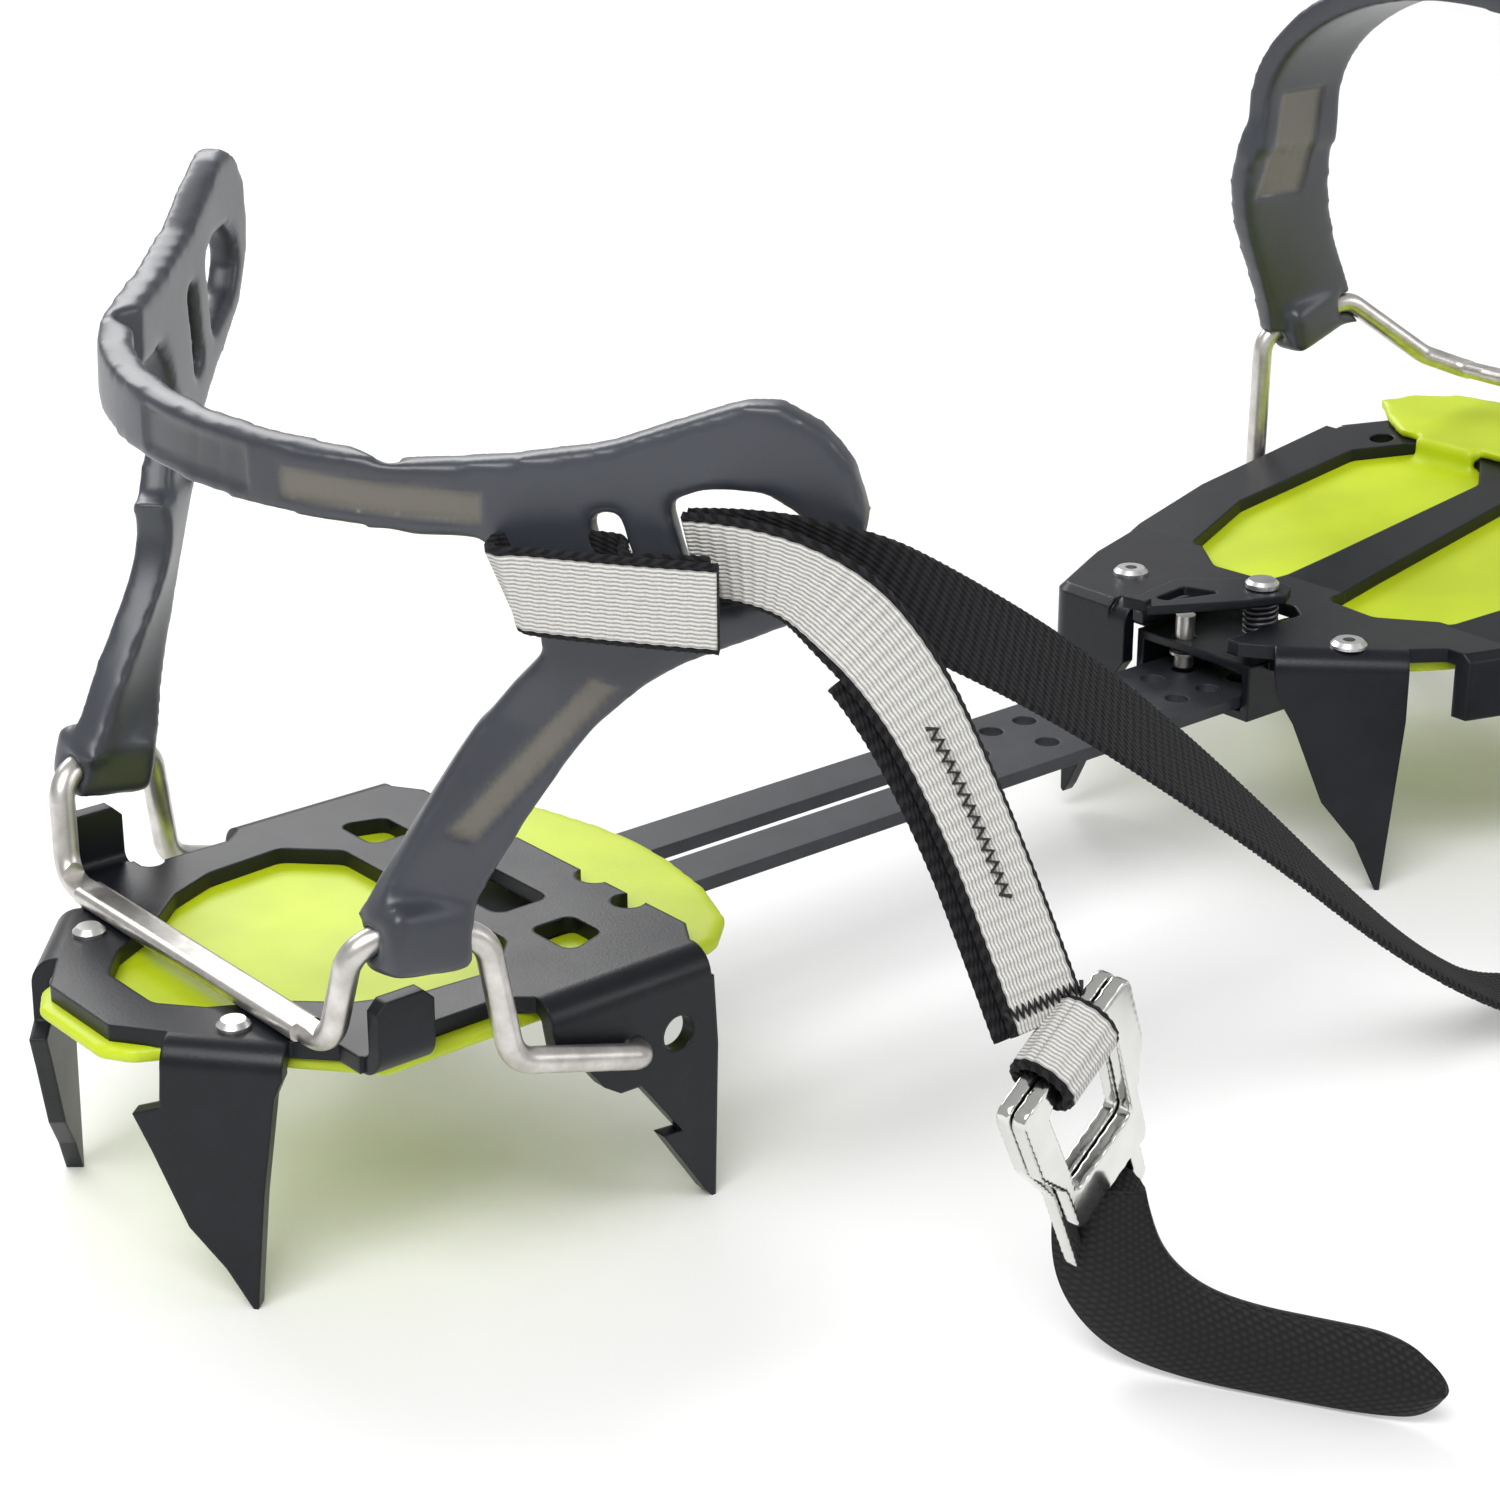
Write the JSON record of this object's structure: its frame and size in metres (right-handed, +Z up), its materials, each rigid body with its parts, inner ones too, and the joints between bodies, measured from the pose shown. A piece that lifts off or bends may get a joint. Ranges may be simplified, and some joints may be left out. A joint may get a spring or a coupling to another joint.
{
  "type": "strap-on mountaineering crampon",
  "caption": "Strap-on crampon with a heel and a toe section on an adjustable link bar, wire bails with boot harnesses and a buckled webbing strap.",
  "frame": {"origin": "on the ground, under the middle of the crampon's own box, the free strap, buckle and pull tab left out", "axes": "+X towards the toe, +Y to the wearer's left, +Z up; the points stand on z = 0"},
  "size_m": [0.3654, 0.3085, 0.151],
  "materials": {
    "black_steel": "satin black coating",
    "anti_balling_sheet": "satin flexible sheet",
    "stainless_wire": "satin stainless",
    "smoke_polymer": "smoky translucent satin",
    "grey_steel": "dark grey satin",
    "light_webbing": "ribbed weave with black edges",
    "black_webbing": "ribbed twill weave",
    "polished_aluminium": "bright polish",
    "coated_tab": "fine-grid coated fabric",
    "rivet_metal": "turned",
    "spring_steel": "dark spring wire"
  },
  "bodies": {
    "heel": {"heel_frame": "black_steel", "heel_antiball_plate": "anti_balling_sheet", "heel_rivets": "rivet_metal", "heel_bar_stirrup": "black_steel", "bar_hinge_pin": "stainless_wire"},
    "bar": {"link_bar": "grey_steel"},
    "heel_bail": {"heel_bail_wire": "stainless_wire", "heel_harness": "smoke_polymer", "strap_wrap": "light_webbing", "strap_buckle_run": "light_webbing", "strap_long_run": "black_webbing", "strap_coil": "black_webbing", "strap_loop": "light_webbing"},
    "buckle": {"buckle_ring_front": "polished_aluminium", "buckle_ring_rear": "polished_aluminium", "pull_tab": "coated_tab"},
    "toe": {"front_frame": "black_steel", "front_antiball_plate": "anti_balling_sheet", "front_rivets": "rivet_metal", "bar_guide": "black_steel", "latch_pivot": "rivet_metal", "lever_spring": "spring_steel", "latch_spring": "spring_steel"},
    "lever": {"latch_lever": "black_steel"},
    "pin": {"latch_pin": "stainless_wire"},
    "toe_bail": {"toe_bail_wire": "stainless_wire", "toe_harness": "smoke_polymer"}
  },
  "joints": [
    {"name": "heel_bail_hinge", "type": "hinge", "parent": "heel", "child": "heel_bail", "pos_m": [-0.1176, 0.002, 0.0283], "axis": [0, 1, 0], "range_deg": [0, 80]},
    {"name": "buckle_hinge", "type": "hinge", "parent": "heel_bail", "child": "buckle", "pos_m": [-0.10712, -0.11317, 0.05278], "axis": [0.8566, 0.1353, 0.4979], "range_deg": [-40, 2]},
    {"name": "bar_hinge", "type": "hinge", "parent": "heel", "child": "bar", "pos_m": [-0.1147, 0.002, 0.0296], "axis": [0, 1, 0], "range_deg": [-2, 15]},
    {"name": "toe_slide", "type": "slide", "parent": "bar", "child": "toe", "axis": [1, 0, 0], "range_m": [-0.048, 0.016]},
    {"name": "lever_hinge", "type": "hinge", "parent": "toe", "child": "lever", "pos_m": [0.0553, -0.002, 0.047], "axis": [0, 0, 1], "range_deg": [-11, 3.5], "stiffness_Nm_per_rad": 0.01},
    {"name": "pin_slide", "type": "slide", "parent": "toe", "child": "pin", "axis": [0, 0, 1], "range_m": [-0.0026, 0.00082], "deforming": ["latch_spring"]},
    {"name": "toe_bail_hinge", "type": "hinge", "parent": "toe", "child": "toe_bail", "pos_m": [0.1173, 0.002, 0.043], "axis": [0, 1, 0], "range_deg": [-60, 5]}
  ],
  "couplings": [
    {"joint": "pin_slide", "follows": "lever_hinge", "m_per_rad": 0.0124}
  ]
}
